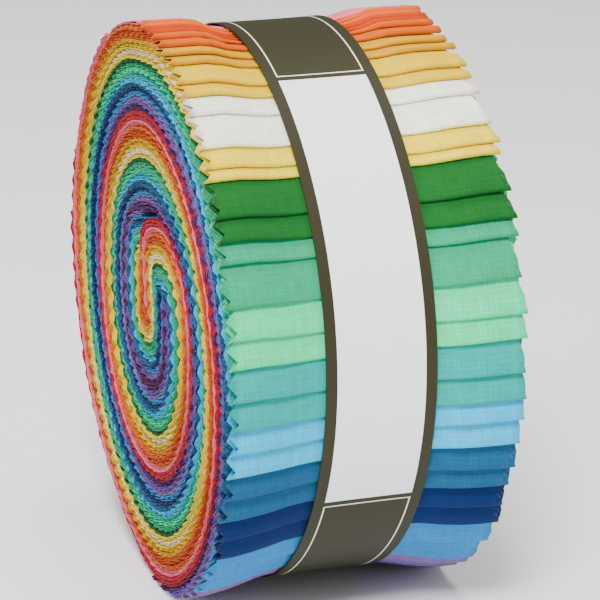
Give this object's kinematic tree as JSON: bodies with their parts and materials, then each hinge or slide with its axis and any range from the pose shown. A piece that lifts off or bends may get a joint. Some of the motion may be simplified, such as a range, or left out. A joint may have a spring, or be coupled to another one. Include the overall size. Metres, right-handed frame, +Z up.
{
  "type": "jelly roll of fabric strips with a paper band",
  "caption": "Pinked cotton strips in rainbow order, folded in half, wound into one round roll and held by a plain paper band.",
  "frame": {"origin": "on the surface, under the middle of the roll", "axes": "X along the roll's axis, across the strips; +Z up; the front of the picture's view is -Y and its visible end face looks to -X"},
  "size_m": [0.0636, 0.1249, 0.1245],
  "materials": {
    "strips": "plain-weave cotton, matt, each strip in its own plain dye colour",
    "band": "smooth uncoated paper, dark olive with a bare white panel"
  },
  "bodies": {
    "root": {"strip_roll": "strips", "paper_band": "band"}
  },
  "joints": []
}
